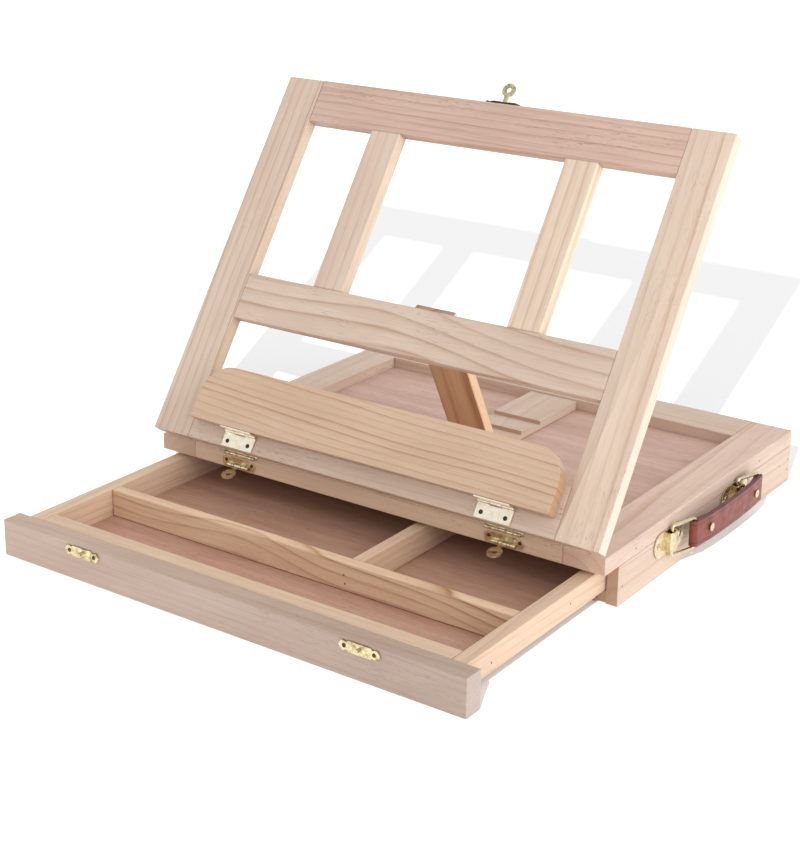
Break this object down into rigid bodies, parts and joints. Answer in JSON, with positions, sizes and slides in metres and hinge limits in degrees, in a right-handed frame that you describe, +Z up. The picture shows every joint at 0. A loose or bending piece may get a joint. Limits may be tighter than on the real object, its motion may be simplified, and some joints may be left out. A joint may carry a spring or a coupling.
{
  "type": "desk easel box",
  "caption": "Table-top pine drawing easel: shallow case with a divided drawer, hinged drawing frame on a prop leg and sawtooth rack, folding ledge, brass hasps and a leather handle",
  "frame": {"origin": "Centre of the underside of the case, on the resting plane", "axes": "+X to the right as seen from the drawer, +Y from the drawer face to the back, +Z up"},
  "size_m": [0.3536, 0.4153, 0.2734],
  "materials": {
    "pine": "sanded, unvarnished",
    "plywood": "sanded plywood",
    "brass": "plated, polished",
    "leather": "smooth, dyed brown"
  },
  "bodies": {
    "case": {"case_back": "pine", "case_back_rail": "pine", "case_bottom_panel": "plywood", "case_front_rail": "pine", "case_left_rail": "pine", "case_left_side": "pine", "case_right_rail": "pine", "case_right_side": "pine", "case_top_panel": "plywood", "prop_rack": "pine", "back_keeper": "brass", "handle_bracket_front": "brass", "handle_bracket_rear": "brass", "front_latch_left_plate": "brass", "front_latch_right_plate": "brass", "easel_hinge_left_case_leaf": "brass", "easel_hinge_right_case_leaf": "brass", "easel_hinge_left_pin": "brass", "easel_hinge_right_pin": "brass"},
    "easel": {"easel_bottom_rail": "pine", "easel_left_muntin": "pine", "easel_left_stile": "pine", "easel_mid_rail": "pine", "easel_right_muntin": "pine", "easel_right_stile": "pine", "easel_top_rail": "pine", "easel_hinge_left_frame_leaf": "brass", "easel_hinge_right_frame_leaf": "brass", "ledge_hinge_left_rail_leaf": "brass", "ledge_hinge_right_rail_leaf": "brass", "ledge_hinge_left_pin": "brass", "ledge_hinge_right_pin": "brass", "top_latch_plate": "brass", "prop_hinge_rail_leaf": "brass", "prop_hinge_pin": "brass"},
    "ledge": {"ledge_board": "pine", "ledge_hinge_left_board_leaf": "brass", "ledge_hinge_right_board_leaf": "brass"},
    "prop": {"prop_leg": "pine", "prop_hinge_leg_leaf": "brass"},
    "drawer": {"drawer_back": "pine", "drawer_cross_divider": "pine", "drawer_floor": "plywood", "drawer_front": "pine", "drawer_inner_front": "pine", "drawer_keeper_left": "brass", "drawer_keeper_right": "brass", "drawer_left_side": "pine", "drawer_long_divider": "pine", "drawer_right_side": "pine"},
    "hasp_front_left": {"front_hasp_left": "brass"},
    "hasp_front_right": {"front_hasp_right": "brass"},
    "hasp_top": {"top_hasp": "brass"},
    "ring_front": {"handle_ring_front": "brass"},
    "ring_rear": {"handle_ring_rear": "brass"},
    "grip": {"handle_grip": "leather", "handle_rivet_front": "brass", "handle_rivet_rear": "brass"}
  },
  "joints": [
    {"name": "easel_tilt", "type": "hinge", "parent": "case", "child": "easel", "pos_m": [0, -0.1335, 0.0373], "axis": [1, 0, 0], "range_deg": [0, 34]},
    {"name": "prop_swing", "type": "hinge", "parent": "easel", "child": "prop", "pos_m": [0.0035, -0.06593, 0.13405], "axis": [1, 0, 0], "range_deg": [-34, 0]},
    {"name": "ledge_fold", "type": "hinge", "parent": "easel", "child": "ledge", "pos_m": [0, -0.1359, 0.05383], "axis": [1, 0, 0], "range_deg": [0, 90]},
    {"name": "drawer_slide", "type": "slide", "parent": "case", "child": "drawer", "axis": [0, 1, 0], "range_m": [0, 0.1445]},
    {"name": "hasp_left", "type": "hinge", "parent": "case", "child": "hasp_front_left", "pos_m": [-0.1024, -0.134, 0.0293], "axis": [1, 0, 0], "range_deg": [-20, 76]},
    {"name": "hasp_right", "type": "hinge", "parent": "case", "child": "hasp_front_right", "pos_m": [0.1024, -0.134, 0.0293], "axis": [1, 0, 0], "range_deg": [-20, 76]},
    {"name": "hasp_top_swing", "type": "hinge", "parent": "easel", "child": "hasp_top", "pos_m": [0.0035, 0.0132, 0.26104], "axis": [1, 0, 0], "range_deg": [-90, 60]},
    {"name": "ring_swing", "type": "hinge", "parent": "case", "child": "ring_front", "pos_m": [0.1726, -0.053, 0.021], "axis": [0, 0, -1], "range_deg": [-6, 148]},
    {"name": "grip_turn", "type": "hinge", "parent": "ring_front", "child": "grip", "pos_m": [0.17811, -0.03377, 0.021], "axis": [0, 0, -1], "range_deg": [-148, 6]},
    {"name": "rear_ring_swing", "type": "hinge", "parent": "case", "child": "ring_rear", "pos_m": [0.1726, 0.04, 0.021], "axis": [0, 0, -1], "range_deg": [-6, 148]}
  ],
  "couplings": [
    {"joint": "prop_swing", "follows": "easel_tilt", "ratio": -1},
    {"joint": "grip_turn", "follows": "ring_swing", "ratio": -1},
    {"joint": "rear_ring_swing", "follows": "ring_swing", "ratio": 1}
  ]
}
